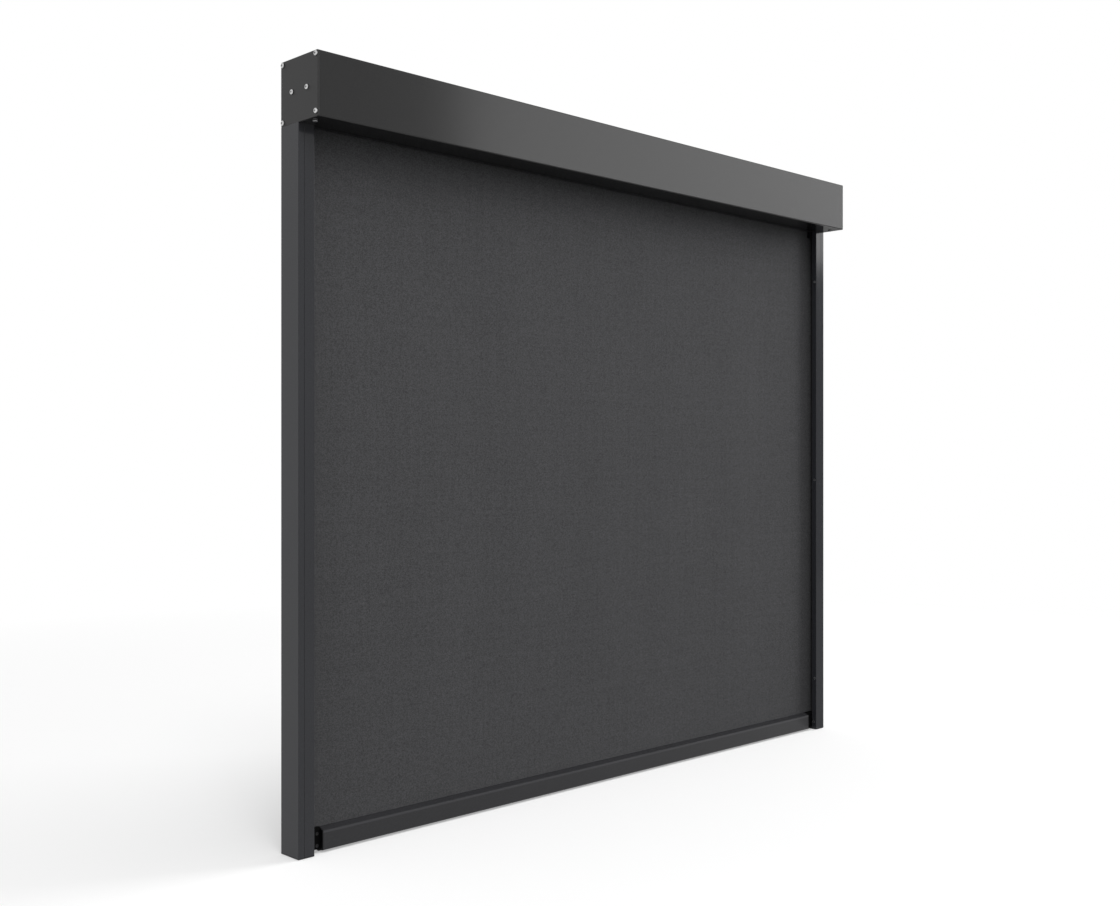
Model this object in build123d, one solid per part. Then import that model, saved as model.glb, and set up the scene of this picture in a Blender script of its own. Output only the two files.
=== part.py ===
from build123d import *
import os
from math import acos, atan2, cos, degrees, hypot, pi, sin

# A zip screen blind: a square headbox on two side guides, with a fabric screen that winds
# onto a motor-driven roller and is kept in the guides by a zip along each edge.
# Millimetres. +X runs along the headbox, -Y is the front and +Z is up. The origin is the
# middle of the headbox's back face, on the wall plane and level with the roller's axis.
# The screen is fully down.

# Outer sizes
overall_width = 1400.0
box_height = 100.0
box_depth = 100.0
guide_length = 1125.0
guide_width = 29.0

# General clearances
seat_gap = 0.2            # round a piece that pushes into another
running_gap = 0.05        # radial, where one piece turns inside another
open_gap = 0.3            # between a moving piece and what it nearly touches

# Headbox shell
box_wall = 1.6
box_corner = 2.0          # outer rounding of the long edges
end_plate = 3.0           # thickness of an end cap's plate
plate_edge = 0.6          # rounding round the plate's outer face
rim_depth = 12.0          # how far an end cap's rim reaches into the shell
rim_wall = 2.0
corner_inset = 5.5        # from the box's faces to a rear corner screw
front_inset = 4.6         # from the front face to a front corner screw
front_top_inset = 5.3     # from the upper face to the upper front screw
front_low_inset = 8.2     # from the lower face to the lower front screw
front_port_radius = 3.95
top_seam = 20.0           # from the front face to the joint on top
lap_length = 7.0          # tongue of the rear profile under the cover's top flange
slot_front = 12.0         # from the fabric forward to the cover's rear edge
slot_rear = 7.0           # from the fabric back to the rear profile's foot
lip_height = 5.0          # upturned edges of the fabric slot
tenon_length = 30.0       # peg of the end cap in the guide
tenon_width = 20.0
tenon_thickness = 8.0
lug_length = 16.0         # block that takes the underside screw
lug_width = 12.0
lug_height = 8.0
lug_setback = 26.0        # from the front face to the underside screw
lug_inset = 13.0          # from the end face to the underside screw

# Wall fixings and cable inlet
fixing_radius = 2.75
fixing_access = 5.0       # hole in the guide's shelf that lets a fixing's head through
box_fixing_pitch = 400.0
box_fixing_count = 4
box_fixing_height = 18.0  # above the headbox's lower face
guide_fixing_pitch = 300.0
guide_fixing_count = 4
guide_fixing_lowest = 112.0
grommet_neck = 6.0
grommet_flange = 8.5
grommet_flange_depth = 3.0
grommet_bore = 3.5
grommet_inset = 100.0     # from the left end face
grommet_drop = 20.0       # below the headbox's upper face

# Screws
pan_head_radius = 4.0
pan_head_height = 2.4
pan_head_round = 1.4
recess_length = 4.4
recess_width = 1.0
recess_depth = 1.3
box_shank = 2.0
box_screw_length = 16.0
bracket_screw_pitch = 40.6
bracket_screw_forward = 1.3   # of the roller's axis
bracket_screw_drop = 1.2      # below the roller's axis
lug_screw_length = 8.0
sunk_head_radius = 2.8
sunk_shank = 1.6
guide_screw_pitch = 448.0
guide_screw_count = 3
guide_screw_lowest = 115.0
guide_screw_setback = 4.5     # from the guide's front face
plug_screw_height = 17.0      # above the guide's foot
plug_screw_setback = 7.8
plug_screw_length = 8.0
glider_screw_heights = (10.6, 29.3)   # above the guide's foot

# Guide sections, in order from the wall to the front
guide_wall = 1.8
rear_chamber = 17.8
channel_width = 15.2
front_chamber = 8.3
guide_seam = 10.5         # from the outer face to the seam on the front face
seam_width = 0.2
seam_chamfer = 0.4
guide_corner = 0.8
cover_leg = 1.5
rib_height = 2.0          # ribs that hold the zip track in
rib_width = 1.4
track_recess = 10.0       # from the guide's inner face to the track's mouth
track_depth = 14.0
track_wall = 1.4
track_mouth = 2.6
cushion_thickness = 1.0
cushion_margin = 1.0
plug_flange = 1.0
plug_spigot = 14.0
plug_tall_spigot = 24.0
stop_height = 3.7
stop_margin = 0.6

# Inlet funnel under each end of the headbox
funnel_height = 15.0
funnel_reach = 8.0        # from the guide's inner face towards the middle
funnel_slit = 2.4
funnel_zip_room = 5.0
funnel_flare = 8.0
funnel_flare_depth = 5.0
funnel_end_wall = 3.0

# Fabric and zips
fabric_thickness = 0.5
zip_width = 6.0
zip_thickness = 3.2
zip_edge_inset = 10.0     # from the guide's outer face to the zip's outer edge

# Roller
tube_radius = 30.0
tube_wall = 1.5
roll_build = 1.0          # turns of fabric left on the tube
tube_end_inset = 28.0     # from the end face of the headbox to the tube's end
keder_radius = 1.75
keder_room = 2.7          # half width of the keder groove
groove_wall = 1.5
groove_neck = 2.4
groove_depth = 3.6        # below the tube's inner wall
motor_radius = 22.5
motor_length = 455.0
motor_head_length = 39.0
shaft_radius = 6.0
shaft_engagement = 15.0
drive_width = 18.0
spigot_length = 17.0
sleeve_length = 9.0       # full-diameter part of a roller end, beside the tube
bracket_width = 62.0
bracket_height = 46.0
bracket_thickness = 3.0
square_boss = 10.0
bearing_bore = 6.0        # radius
bearing_inner_wall = 2.0
bearing_outer_wall = 2.5
bearing_outside = 14.0    # radius
bearing_width = 8.0
bearing_inset = 6.0       # from the idler plug's outer face
ball_count = 9
idler_bore_depth = 32.0
pin_shoulder = 8.0
pin_length = 30.0

# Bottom bar
bar_end_inset = 48.0      # from the end face of the headbox to the bar's end
bar_depth = 25.4
bar_wall = 1.6
bar_clearance = 3.2       # from the guide's foot up to the bar's lower face
bar_shoulder = 30.2       # height of the bar's front face
crest_rise = 5.0
crest_width = 6.0
bar_round = 1.2
bar_foot_round = 0.8
hem_radius = 3.2          # keder chamber in the crest
hem_wall = 1.4
hem_neck = 2.2
hem_cover = 2.0           # wall above the keder chamber
hem_keder = 2.9
seal_pocket_width = 9.0
seal_pocket_height = 2.4
seal_neck = 4.4
seal_roof = 1.4
seal_bulb_width = 7.0
seal_drop = 2.7           # below the bar's lower face
weight_width = 18.0
weight_height = 12.0
weight_inset = 8.0
cap_plate = 1.5
cap_spigot = 14.0
leg_reach = 13.0
leg_thickness = 4.5
glider_gap = 0.6          # each side, in the guide's channel
glider_reach = 7.4        # into the guide's channel
glider_height = 33.5
glider_clearance = 5.0    # from the guide's foot up to the glider
glider_round = 0.6
glider_screw_inset = 6.0  # from the bar's end
upper_stop_gap = 1.0

# Places worked out from the sizes above
half_width = overall_width / 2
half_height = box_height / 2
axis_y = -box_depth / 2
box_floor = -half_height
foot_z = box_floor - guide_length
profile_end = half_width - end_plate
guide_depth = 4 * guide_wall + rear_chamber + channel_width + front_chamber
fabric_depth = 2 * guide_wall + rear_chamber + channel_width / 2
fabric_y = -fabric_depth
guide_inner = half_width - guide_width
channel_rear = fabric_depth - channel_width / 2
channel_front = fabric_depth + channel_width / 2
zip_outer = half_width - zip_edge_inset
fabric_half = zip_outer - zip_width
tube_half = half_width - tube_end_inset
sleeve_end = tube_half + sleeve_length
roll_end = profile_end - bracket_thickness - bearing_inner_wall
roll_radius = tube_radius + roll_build
lead_radius = roll_radius + open_gap + fabric_thickness / 2
zip_roll_radius = lead_radius - zip_thickness / 2 - open_gap
zip_seat_radius = zip_roll_radius - zip_thickness
bracket_face = profile_end - bracket_thickness
bar_half = half_width - bar_end_inset
bar_floor = foot_z + bar_clearance
bar_shoulder_z = bar_floor + bar_shoulder
crest_z = bar_shoulder_z + crest_rise
glider_floor = foot_z + glider_clearance
glider_top = glider_floor + glider_height
fabric_hem_z = glider_top + open_gap
funnel_floor = box_floor - funnel_height
bar_travel = funnel_floor - upper_stop_gap - glider_top


def block(x_range, y_range, z_range):
    """A box between two values on each axis, given in either order."""
    ranges = (x_range, y_range, z_range)
    middle = [(first + last) / 2 for first, last in ranges]
    size = [abs(last - first) for first, last in ranges]
    return Pos(*middle) * Box(*size)


def disc_x(x_range, radius, y, z):
    """A cylinder along X."""
    middle = (x_range[0] + x_range[1]) / 2
    length = abs(x_range[1] - x_range[0])
    return Pos(middle, y, z) * Rot(0, 90, 0) * Cylinder(radius, length)


def roller_disc(x_range, radius):
    """A cylinder on the roller's axis."""
    return disc_x(x_range, radius, axis_y, 0)


def prism_x(points, x_range):
    """An outline of (y, z) points, drawn out along X."""
    outline = make_face(Polyline(*points, close=True))
    return extrude(Plane.YZ.offset(min(x_range)) * outline, amount=abs(x_range[1] - x_range[0]))


def guide_block(u_range, v_range, z_range):
    """A box in the left guide: u from its outer face inwards, v from the wall forwards."""
    x_range = [-half_width + u for u in u_range]
    y_range = [-v for v in v_range]
    return block(x_range, y_range, z_range)


def left_end(x_from_middle):
    """Mirrors a distance from the middle to the left side."""
    return -x_from_middle


def right_copy(shape):
    """The right-hand twin of a left-hand piece."""
    return mirror(shape, about=Plane.YZ)


def line_edges(shape, axis, places):
    """Edges parallel to an axis that pass through places, given on the other two axes."""
    found = []
    for edge in shape.edges().filter_by(axis):
        middle = edge.center()
        across = {Axis.X: (middle.Y, middle.Z), Axis.Z: (middle.X, middle.Y)}[axis]
        for place in places:
            if abs(across[0] - place[0]) < 1e-3 and abs(across[1] - place[1]) < 1e-3:
                found.append(edge)
    return found


def group(shapes):
    """Separate solids kept in one node."""
    return Compound(children=list(shapes))


# Screws stand with the head's seat at z = 0 and the shank pointing down.
def pan_screw(length):
    head = Cylinder(pan_head_radius, pan_head_height, align=(Align.CENTER, Align.CENTER, Align.MIN))
    head = fillet(head.edges().group_by(Axis.Z)[-1], pan_head_round)
    shank = Cylinder(box_shank, length, align=(Align.CENTER, Align.CENTER, Align.MAX))
    slot = Pos(0, 0, pan_head_height) * Box(recess_length, recess_width, 2 * recess_depth)
    return head + shank - slot - Rot(0, 0, 90) * slot


def sunk_screw(length, thickness):
    """A countersunk screw whose head fills a plate of the given thickness."""
    head = Cone(sunk_shank, sunk_head_radius, thickness, align=(Align.CENTER, Align.CENTER, Align.MAX))
    shank = Cylinder(sunk_shank, length, align=(Align.CENTER, Align.CENTER, Align.MAX))
    slot = Box(sunk_head_radius, recess_width / 2, recess_depth)
    return head + shank - slot - Rot(0, 0, 90) * slot


def countersink(thickness):
    """The hole that a countersunk screw fills in a plate."""
    return Cone(sunk_shank, sunk_head_radius, thickness, align=(Align.CENTER, Align.CENTER, Align.MAX))


# Headbox
def screw_ports(places, radius, x_range):
    """Screw ports inside the shell's corners, with their bores apart."""
    ports = [disc_x(x_range, radius, y, z) for y, z in places]
    bores = [disc_x(x_range, box_shank, y, z) for y, z in places]
    return ports, bores


# Corner screw places (y, z), the upper one first
rear_corners = [(-corner_inset, side * (half_height - corner_inset)) for side in (1, -1)]
front_corners = [
    (-box_depth + front_inset, half_height - front_top_inset),
    (-box_depth + front_inset, -half_height + front_low_inset),
]


def tenon_range(gap):
    """Plan outline of the end cap's tenon, grown by a gap, as u and v ranges in the guide."""
    u_range = (end_plate + seat_gap - gap, end_plate + seat_gap + tenon_width + gap)
    v_last = channel_rear - guide_wall - seat_gap
    return u_range, (v_last - tenon_thickness - gap, v_last + gap)


def headbox_rear_profile():
    span = (-profile_end, profile_end)
    foot_edge = -(fabric_depth - slot_rear)
    top_edge = -(box_depth - top_seam)
    floor = (box_floor, box_floor + box_wall)
    shell = block(span, (-box_wall, 0), (-half_height, half_height))
    shell += block(span, (top_edge, 0), (half_height - box_wall, half_height))
    shell += block(span, (foot_edge, 0), floor)
    shell += block(span, (foot_edge, foot_edge + box_wall), (box_floor, box_floor + lip_height))
    lap_top = half_height - box_wall - seat_gap
    shell += block(span, (top_edge - lap_length, top_edge + lap_length), (lap_top - box_wall, lap_top))
    shell += block(span, (top_edge + seat_gap, top_edge + lap_length), (lap_top, half_height - box_wall))
    ports, bores = screw_ports(rear_corners, corner_inset - box_wall / 2, span)
    for port in ports:
        shell += port
    for bore in bores:
        shell -= bore
    shell = fillet(line_edges(shell, Axis.X, [(0, half_height), (0, -half_height)]), box_corner)
    u_range, v_range = tenon_range(seat_gap)
    notch = guide_block((0, u_range[1]), v_range, (box_floor - 1, box_floor + 2 * box_wall))
    shell = shell - notch - right_copy(notch)
    for index in range(box_fixing_count):
        x = (index - (box_fixing_count - 1) / 2) * box_fixing_pitch
        hole = Rot(90, 0, 0) * Cylinder(fixing_radius, 4 * box_wall)
        shell -= Pos(x, -box_wall / 2, box_floor + box_fixing_height) * hole
    inlet = Rot(90, 0, 0) * Cylinder(grommet_neck, 4 * box_wall)
    return shell - Pos(-half_width + grommet_inset, -box_wall / 2, half_height - grommet_drop) * inlet


def headbox_front_cover():
    span = (-profile_end, profile_end)
    rear_edge = -(fabric_depth + slot_front)
    top_edge = -(box_depth - top_seam + seat_gap)
    cover = block(span, (-box_depth, -box_depth + box_wall), (-half_height, half_height))
    cover += block(span, (-box_depth, top_edge), (half_height - box_wall, half_height))
    cover += block(span, (-box_depth, rear_edge), (box_floor, box_floor + box_wall))
    cover += block(span, (rear_edge - box_wall, rear_edge), (box_floor, box_floor + lip_height))
    ports, bores = screw_ports(front_corners, front_port_radius, span)
    for port in ports:
        cover += port
    for bore in bores:
        cover -= bore
    outer = [(-box_depth, half_height), (-box_depth, -half_height)]
    cover = fillet(line_edges(cover, Axis.X, outer), box_corner)
    for side in (-1, 1):
        hole = Cylinder(box_shank, 4 * box_wall)
        cover -= Pos(side * (half_width - lug_inset), -box_depth + lug_setback, box_floor) * hole
    return cover


def end_cap_left():
    plate = block((-half_width, -profile_end), (-box_depth, 0), (-half_height, half_height))
    long_edges = [(y, z) for y in (-box_depth, 0) for z in (-half_height, half_height)]
    plate = fillet(line_edges(plate, Axis.X, long_edges), box_corner)
    plate = fillet(plate.faces().sort_by(Axis.X)[0].edges(), plate_edge)
    # The rim runs along the shell's walls, between the screw ports.
    rim = (-profile_end, -profile_end + rim_depth)
    inner = box_wall + seat_gap
    port_room = front_low_inset + front_port_radius + seat_gap
    rim_low = -half_height + port_room
    lug_y = -box_depth + lug_setback
    cap = plate
    cap += block(rim, (-inner - rim_wall, -inner), (rim_low, -rim_low))
    cap += block(rim, (-box_depth + inner, -box_depth + inner + rim_wall), (rim_low, -rim_low))
    top_rim = (-box_depth + top_seam + lap_length + seat_gap, -port_room)
    cap += block(rim, top_rim, (half_height - inner - rim_wall, half_height - inner))
    slot_edge = -(fabric_depth + slot_front + box_wall + seat_gap)
    floor_rim = (-box_depth + port_room, slot_edge)
    cap += block(rim, floor_rim, (box_floor + inner, box_floor + inner + rim_wall))
    lug = (-profile_end, -half_width + lug_length + end_plate)
    lug_sides = (lug_y - lug_width / 2, lug_y + lug_width / 2)
    cap += block(lug, lug_sides, (box_floor + box_wall, box_floor + box_wall + lug_height))
    u_range, v_range = tenon_range(0)
    tenon_top = box_floor + box_wall + lug_height
    cap += guide_block((end_plate, u_range[1]), v_range, (box_floor + seat_gap, tenon_top))
    cap += guide_block(u_range, v_range, (box_floor - tenon_length, box_floor + box_wall))
    for y, z in rear_corners + front_corners + bracket_places():
        cap -= disc_x((-half_width - 1, -profile_end + 1), box_shank, y, z)
    lug_hole = Cylinder(box_shank, 4 * lug_height)
    return cap - Pos(-half_width + lug_inset, lug_y, box_floor) * lug_hole


def bracket_places():
    """Places (y, z) of the two screws that hold a roller bracket."""
    middle = axis_y - bracket_screw_forward
    return [(middle + side * bracket_screw_pitch / 2, -bracket_screw_drop) for side in (-1, 1)]


def end_screws(places, length):
    """Pan-head screws driven into both ends of the headbox."""
    screw = pan_screw(length)
    screws = []
    for side in (-1, 1):
        for y, z in places:
            screws.append(Pos(side * half_width, y, z) * Rot(0, side * 90, 0) * screw)
    return group(screws)


def cover_lock_screws():
    screw = Rot(180, 0, 0) * pan_screw(lug_screw_length)
    places = [side * (half_width - lug_inset) for side in (-1, 1)]
    return group([Pos(x, -box_depth + lug_setback, box_floor) * screw for x in places])


def cable_grommet():
    neck = Cylinder(grommet_neck, box_wall, align=(Align.CENTER, Align.CENTER, Align.MIN))
    flange = Cylinder(grommet_flange, grommet_flange_depth, align=(Align.CENTER, Align.CENTER, Align.MAX))
    body = neck + flange - Cylinder(grommet_bore, 4 * grommet_flange_depth)
    place = Pos(-half_width + grommet_inset, -box_wall, half_height - grommet_drop)
    return place * Rot(-90, 0, 0) * body


# Roller and what carries it. The motor is at the left end and the idler at the right.
def roller_bracket_left():
    plate = block(
        (-profile_end, -bracket_face),
        (axis_y - bracket_width / 2, axis_y + bracket_width / 2),
        (-bracket_height / 2, bracket_height / 2),
    )
    plate -= block(
        (-profile_end, -bracket_face),
        (axis_y - square_boss / 2, axis_y + square_boss / 2),
        (-square_boss / 2, square_boss / 2),
    )
    for y, z in bracket_places():
        plate -= disc_x((-profile_end, -bracket_face), box_shank, y, z)
    return plate


def square_end(side):
    """The square end of a piece that the roller bracket keeps from turning."""
    return block(
        (side * bracket_face, side * profile_end),
        (axis_y - square_boss / 2, axis_y + square_boss / 2),
        (-square_boss / 2, square_boss / 2),
    )


motor_head_end = left_end(bracket_face - motor_head_length)
motor_end = motor_head_end + motor_length


def motor_head():
    return roller_disc((left_end(bracket_face), motor_head_end), motor_radius) + square_end(-1)


def motor_body():
    body = roller_disc((motor_head_end, motor_end), motor_radius)
    bore = (motor_end - shaft_engagement - open_gap, motor_end)
    return body - roller_disc(bore, shaft_radius + running_gap)


def motor_shaft():
    return roller_disc((motor_end - shaft_engagement, motor_end + open_gap + drive_width), shaft_radius)


def groove_room(x_range):
    """Room in a roller end for the keder groove inside the tube."""
    half = keder_room + groove_wall + seat_gap
    low = tube_radius - tube_wall - groove_depth - groove_wall - seat_gap
    return block(x_range, (axis_y - half, axis_y + half), (low, tube_radius))


def drive_wheel():
    start = motor_end + open_gap
    span = (start, start + drive_width)
    wheel = roller_disc(span, tube_radius - tube_wall) - roller_disc(span, shaft_radius)
    return wheel - groove_room(span)


def roller_end_left():
    """Spigot in the tube, full-diameter sleeve beside it, and a lower seat for the zip."""
    spigot = (-tube_half, -tube_half + spigot_length)
    body = roller_disc(spigot, tube_radius - tube_wall)
    body += roller_disc((-sleeve_end, -tube_half), tube_radius)
    body += roller_disc((-roll_end, -sleeve_end), zip_seat_radius)
    return body - groove_room(spigot)


def crown_ring():
    crown = roller_end_left()
    return crown - roller_disc((-roll_end, -tube_half + spigot_length), motor_radius + running_gap)


bearing_outer_face = roll_end - bearing_inset
bearing_inner_face = bearing_outer_face - bearing_width


def idler_plug():
    plug = right_copy(roller_end_left())
    plug -= roller_disc((bearing_inner_face, roll_end), bearing_outside)
    return plug - roller_disc((roll_end - idler_bore_depth, roll_end), pin_shoulder + open_gap)


def bearing_outer_ring():
    span = (bearing_inner_face, bearing_outer_face)
    return roller_disc(span, bearing_outside) - roller_disc(span, bearing_outside - bearing_outer_wall)


def bearing_inner_ring():
    span = (bearing_inner_face, bearing_outer_face)
    return roller_disc(span, bearing_bore + bearing_inner_wall) - roller_disc(span, bearing_bore)


def bearing_balls():
    inner = bearing_bore + bearing_inner_wall
    outer = bearing_outside - bearing_outer_wall
    pitch = (inner + outer) / 2
    radius = (outer - inner) / 2 - running_gap
    middle = (bearing_inner_face + bearing_outer_face) / 2
    balls = []
    for index in range(ball_count):
        angle = 2 * pi * index / ball_count
        balls.append(Pos(middle, axis_y + pitch * cos(angle), pitch * sin(angle)) * Sphere(radius))
    return group(balls)


def idler_pin():
    pin = roller_disc((bracket_face - pin_length, bracket_face), bearing_bore)
    shoulder = roller_disc((bearing_outer_face, bracket_face), pin_shoulder)
    return pin + shoulder + square_end(1)


def groove_heights():
    """Lower and upper ends of the keder groove, above the roller's axis."""
    inner = tube_radius - tube_wall
    return inner - groove_depth, inner


def roller_tube():
    span = (-tube_half, tube_half)
    inner = tube_radius - tube_wall
    low, high = groove_heights()
    ring = roller_disc(span, tube_radius) - roller_disc(span, inner)
    wall = keder_room + groove_wall
    channel = block(span, (axis_y - wall, axis_y + wall), (low - groove_wall, high))
    ring += channel & roller_disc(span, inner + tube_wall / 2)
    pocket = block(span, (axis_y - keder_room, axis_y + keder_room), (low, high))
    ring -= pocket & roller_disc(span, inner)
    neck = block(span, (axis_y - groove_neck / 2, axis_y + groove_neck / 2), (low, tube_radius + 1))
    return ring - neck


def tube_keder():
    span = (-tube_half, tube_half)
    low = groove_heights()[0]
    rod = disc_x(span, keder_radius, axis_y, low + keder_radius)
    tail = (axis_y - fabric_thickness / 2, axis_y + fabric_thickness / 2)
    return rod + block(span, tail, (low + keder_radius, tube_radius - fabric_thickness))


def wound_fabric():
    span = (-sleeve_end, sleeve_end)
    return roller_disc(span, roll_radius) - roller_disc(span, tube_radius)


def wound_zips():
    rings = []
    for side in (-1, 1):
        span = (side * sleeve_end, side * (zip_outer + open_gap))
        rings.append(roller_disc(span, zip_roll_radius) - roller_disc(span, zip_seat_radius))
    return group(rings)


# Fabric between the roller and the bar
def lead_start():
    """Where the fabric leaves the roll: tangent to it, towards the slot in the box's floor."""
    reach_y = fabric_y - axis_y
    distance = hypot(reach_y, box_floor)
    angle = atan2(box_floor, reach_y) + acos(lead_radius / distance)
    return axis_y + lead_radius * cos(angle), lead_radius * sin(angle)


def lead_strip(x_range, thickness):
    start_y, start_z = lead_start()
    length = hypot(fabric_y - start_y, box_floor - start_z)
    slope = (fabric_y - start_y) / (box_floor - start_z)
    across_y = -(box_floor - start_z) / length
    across_z = (fabric_y - start_y) / length
    upper, lower = [], []
    for side in (-1, 1):
        y = start_y + side * across_y * thickness / 2
        z = start_z + side * across_z * thickness / 2
        upper.append((y, z))
        lower.append((y + slope * (box_floor - z), box_floor))
    return prism_x([upper[0], upper[1], lower[1], lower[0]], x_range)


def fabric_lead_in():
    return lead_strip((-fabric_half, fabric_half), fabric_thickness)


def zip_lead_ins():
    left = lead_strip((-zip_outer, -fabric_half), zip_thickness)
    return group([left, right_copy(left)])


def screen_fabric():
    depth = (fabric_y - fabric_thickness / 2, fabric_y + fabric_thickness / 2)
    sheet = block((-fabric_half, fabric_half), depth, (fabric_hem_z, box_floor))
    return sheet + block((-bar_half, bar_half), depth, (crest_z, fabric_hem_z))


def zip_chain_left():
    depth = (fabric_y - zip_thickness / 2, fabric_y + zip_thickness / 2)
    return block((-zip_outer, -fabric_half), depth, (fabric_hem_z, box_floor))


# Side guides. The base goes on the wall and the cover closes it towards the front.
guide_span = (foot_z + plug_flange, box_floor)


def guide_screw_heights():
    heights = [guide_screw_lowest + index * guide_screw_pitch for index in range(guide_screw_count)]
    return [foot_z + height for height in heights]


def guide_base_left():
    inner_face = guide_width
    front = guide_depth
    base = guide_block((0, inner_face), (0, guide_wall), guide_span)
    base += guide_block((0, guide_wall), (0, front), guide_span)
    base += guide_block((0, guide_seam), (front - guide_wall, front), guide_span)
    base += guide_block((inner_face - guide_wall, inner_face), (0, channel_rear), guide_span)
    base += guide_block((0, inner_face), (channel_rear - guide_wall, channel_rear), guide_span)
    base += guide_block((guide_seam - guide_wall, guide_seam), (channel_front, front), guide_span)
    base += guide_block((0, guide_seam), (channel_front, channel_front + guide_wall), guide_span)
    rib_start = inner_face - track_recess + seat_gap
    rib = (rib_start, rib_start + rib_width)
    rib_z = (foot_z + plug_flange, funnel_floor)
    base += guide_block(rib, (channel_rear, channel_rear + rib_height), rib_z)
    outer_front = (-half_width, -front)
    inner_rear = (-half_width + inner_face, 0)
    outer_rear = (-half_width, 0)
    base = fillet(line_edges(base, Axis.Z, [outer_front, inner_rear, outer_rear]), guide_corner)
    base = chamfer(line_edges(base, Axis.Z, [(-half_width + guide_seam, -front)]), seam_chamfer)
    for index in range(guide_fixing_count):
        z = foot_z + guide_fixing_lowest + index * guide_fixing_pitch
        hole = Rot(90, 0, 0) * Cylinder(fixing_radius, 4 * guide_wall)
        access = Rot(90, 0, 0) * Cylinder(fixing_access, 4 * guide_wall)
        base -= Pos(-half_width + guide_width / 2, 0, z) * hole
        base -= Pos(-half_width + guide_width / 2, -channel_rear, z) * access
    for z in guide_screw_heights():
        partition = (-half_width + guide_seam - guide_wall, -half_width + guide_seam)
        base -= disc_x(partition, sunk_shank, -(front - guide_screw_setback), z)
    return base


def guide_cover_left():
    start = guide_seam + seam_width
    front = guide_depth
    cover = guide_block((start, guide_width), (channel_front, front), guide_span)
    hollow_u = (start + cover_leg, guide_width - guide_wall)
    cover -= guide_block(hollow_u, (channel_front + guide_wall, front - guide_wall), guide_span)
    rib_start = guide_width - track_recess + seat_gap
    rib_z = (foot_z + plug_flange, funnel_floor)
    cover += guide_block((rib_start, rib_start + rib_width), (channel_front - rib_height, channel_front), rib_z)
    inner_front = (-half_width + guide_width, -front)
    inner_channel = (-half_width + guide_width, -channel_front)
    cover = fillet(line_edges(cover, Axis.Z, [inner_front, inner_channel]), guide_corner)
    cover = chamfer(line_edges(cover, Axis.Z, [(-half_width + start, -front)]), seam_chamfer)
    face_x = -half_width + guide_width
    sink = Rot(0, 90, 0) * countersink(guide_wall)
    for z in guide_screw_heights():
        y = -(front - guide_screw_setback)
        leg = (-half_width + start, -half_width + start + cover_leg)
        cover = cover - Pos(face_x, y, z) * sink - disc_x(leg, sunk_shank, y, z)
    return cover - Pos(face_x, -(front - plug_screw_setback), foot_z + plug_screw_height) * sink


def guide_cover_screws():
    screw = Rot(0, 90, 0) * sunk_screw(guide_width - guide_seam + guide_wall, guide_wall)
    y = -(guide_depth - guide_screw_setback)
    left = [Pos(-guide_inner, y, z) * screw for z in guide_screw_heights()]
    return group(left + [right_copy(piece) for piece in left])


def guide_plug_screws():
    screw = Rot(0, 90, 0) * sunk_screw(plug_screw_length, guide_wall)
    left = Pos(-guide_inner, -(guide_depth - plug_screw_setback), foot_z + plug_screw_height) * screw
    return group([left, right_copy(left)])


track_u = (guide_width - track_recess - track_depth, guide_width - track_recess)
track_top = funnel_floor - seat_gap


def zip_track_left():
    half = channel_width / 2 - cushion_thickness
    span = (foot_z + plug_flange, track_top)
    around = (fabric_depth - half, fabric_depth + half)
    inside = (around[0] + track_wall, around[1] - track_wall)
    track = guide_block(track_u, around, span)
    track -= guide_block((track_u[0] + track_wall, track_u[1] - track_wall), inside, span)
    mouth = (fabric_depth - track_mouth / 2, fabric_depth + track_mouth / 2)
    return track - guide_block((track_u[1] - track_wall, track_u[1]), mouth, span)


def track_cushions_left():
    span = (foot_z + plug_flange, track_top)
    strip_u = (track_u[0] + cushion_margin, track_u[1] - cushion_margin)
    strips = []
    for start in (channel_rear, channel_front - cushion_thickness):
        strips.append(guide_block(strip_u, (start, start + cushion_thickness), span))
    return group(strips)


def inlet_funnel_left():
    half = channel_width / 2 - seat_gap / 2
    around = (fabric_depth - half, fabric_depth + half)
    span = (funnel_floor, box_floor)
    start = guide_wall + seat_gap
    end = guide_width + funnel_reach
    body = guide_block((start, end), around, span)
    slit_start = half_width - fabric_half - 2 * seat_gap
    slit = (fabric_depth - funnel_slit / 2, fabric_depth + funnel_slit / 2)
    body -= guide_block((slit_start, end), slit, span)
    room = (fabric_depth - funnel_zip_room / 2, fabric_depth + funnel_zip_room / 2)
    body -= guide_block((start + funnel_end_wall, half_width - fabric_half + seat_gap), room, span)
    flare_top = funnel_flare / 2
    flare = [
        (fabric_y - flare_top, box_floor),
        (fabric_y + flare_top, box_floor),
        (fabric_y + funnel_slit / 2, box_floor - funnel_flare_depth),
        (fabric_y - funnel_slit / 2, box_floor - funnel_flare_depth),
    ]
    return body - prism_x(flare, (-half_width + start + funnel_end_wall, -half_width + end))


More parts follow.
